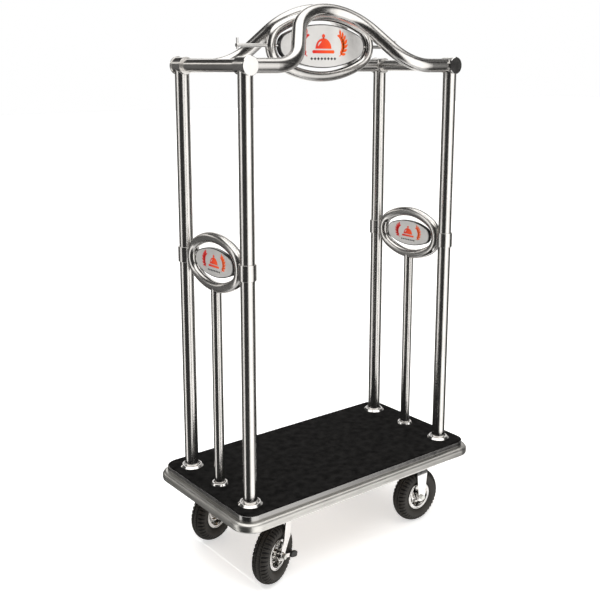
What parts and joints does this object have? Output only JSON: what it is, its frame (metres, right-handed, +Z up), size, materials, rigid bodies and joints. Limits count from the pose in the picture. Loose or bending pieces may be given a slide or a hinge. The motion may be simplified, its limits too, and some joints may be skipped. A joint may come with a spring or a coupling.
{
  "type": "hotel luggage cart",
  "caption": "Hotel luggage cart: carpeted deck on pneumatic casters, corner posts, oval side rings and two arches that meet over an oval crown plate.",
  "frame": {"origin": "on the floor, under the middle of the deck", "axes": "+X along the deck towards the rigid casters, +Y across the deck, +Z up"},
  "size_m": [1.143, 0.61, 2.0533],
  "materials": {
    "black_edge": "gloss black",
    "black_steel": "black enamel",
    "brushed_plate": "fine brushed",
    "brushed_stainless": "long-grain brushed",
    "carpet": "short cut-pile carpet",
    "chrome": "bright chrome plate",
    "pedal_rubber": "moulded rubber sleeve",
    "plywood": "raw plywood",
    "polished_stainless": "polished",
    "satin_rim": "satin",
    "tyre_rubber": "moulded black pneumatic tyre",
    "zinc_steel": "zinc plated"
  },
  "bodies": {
    "cart": {"apex_saddle": "brushed_stainless", "arch_back": "brushed_stainless", "arch_front": "brushed_stainless", "bolsters": "black_steel", "carpet": "carpet", "caster_bolts": "zinc_steel", "chassis_rails": "black_steel", "corner_sleeves": "brushed_stainless", "crown_faces": "brushed_plate", "crown_plate": "black_edge", "crown_ring": "brushed_stainless", "deck_board": "plywood", "deck_rim": "satin_rim", "deck_skirt": "polished_stainless", "end_caps": "polished_stainless", "end_post_left": "brushed_stainless", "end_post_right": "brushed_stainless", "end_rail_left": "brushed_stainless", "end_rail_right": "brushed_stainless", "hanger_bars": "brushed_stainless", "kingpins": "zinc_steel", "plate_pins": "brushed_stainless", "post_back_left": "brushed_stainless", "post_back_right": "brushed_stainless", "post_bolts": "zinc_steel", "post_collars": "brushed_stainless", "post_flanges": "polished_stainless", "post_front_left": "brushed_stainless", "post_front_right": "brushed_stainless", "rigid_axles": "zinc_steel", "rigid_fork_back_right": "chrome", "rigid_fork_front_right": "chrome", "side_plate_faces": "brushed_plate", "side_plate_left": "black_edge", "side_plate_right": "black_edge", "side_ring_left": "brushed_stainless", "side_ring_right": "brushed_stainless", "swivel_plate_back_left": "chrome", "swivel_plate_front_left": "chrome"},
    "swivel_front_left": {"swivel_fork_front_left": "chrome", "axle_front_left": "zinc_steel"},
    "swivel_back_left": {"swivel_fork_back_left": "chrome", "axle_back_left": "zinc_steel"},
    "brake_front_left": {"brake_lever_front_left": "chrome", "brake_pedal_front_left": "pedal_rubber"},
    "brake_back_left": {"brake_lever_back_left": "chrome", "brake_pedal_back_left": "pedal_rubber"},
    "wheel_front_left": {"wheel_rim_front_left": "chrome", "wheel_bearings_front_left": "zinc_steel", "tyre_front_left": "tyre_rubber"},
    "wheel_back_left": {"wheel_rim_back_left": "chrome", "wheel_bearings_back_left": "zinc_steel", "tyre_back_left": "tyre_rubber"},
    "wheel_front_right": {"wheel_rim_front_right": "chrome", "wheel_bearings_front_right": "zinc_steel", "tyre_front_right": "tyre_rubber"},
    "wheel_back_right": {"wheel_rim_back_right": "chrome", "wheel_bearings_back_right": "zinc_steel", "tyre_back_right": "tyre_rubber"}
  },
  "joints": [
    {"name": "swivel_front_left", "type": "hinge", "parent": "cart", "child": "swivel_front_left", "pos_m": [-0.348, -0.194, 0.24], "axis": [0, 0, 1], "continuous": true},
    {"name": "spin_front_left", "type": "hinge", "parent": "swivel_front_left", "child": "wheel_front_left", "pos_m": [-0.38942, -0.21158, 0.109], "axis": [-0.3907, 0.9205, 0], "continuous": true},
    {"name": "brake_front_left", "type": "hinge", "parent": "swivel_front_left", "child": "brake_front_left", "pos_m": [-0.38942, -0.21158, 0.109], "axis": [-0.3907, 0.9205, 0], "range_deg": [0, 25]},
    {"name": "swivel_back_left", "type": "hinge", "parent": "cart", "child": "swivel_back_left", "pos_m": [-0.348, 0.194, 0.24], "axis": [0, 0, 1], "continuous": true},
    {"name": "spin_back_left", "type": "hinge", "parent": "swivel_back_left", "child": "wheel_back_left", "pos_m": [-0.39126, 0.1816, 0.109], "axis": [-0.2756, 0.9613, 0], "continuous": true},
    {"name": "brake_back_left", "type": "hinge", "parent": "swivel_back_left", "child": "brake_back_left", "pos_m": [-0.39126, 0.1816, 0.109], "axis": [-0.2756, 0.9613, 0], "range_deg": [0, 25]},
    {"name": "spin_front_right", "type": "hinge", "parent": "cart", "child": "wheel_front_right", "pos_m": [0.348, -0.194, 0.109], "axis": [0, 1, 0], "continuous": true},
    {"name": "spin_back_right", "type": "hinge", "parent": "cart", "child": "wheel_back_right", "pos_m": [0.348, 0.194, 0.109], "axis": [0, 1, 0], "continuous": true}
  ]
}
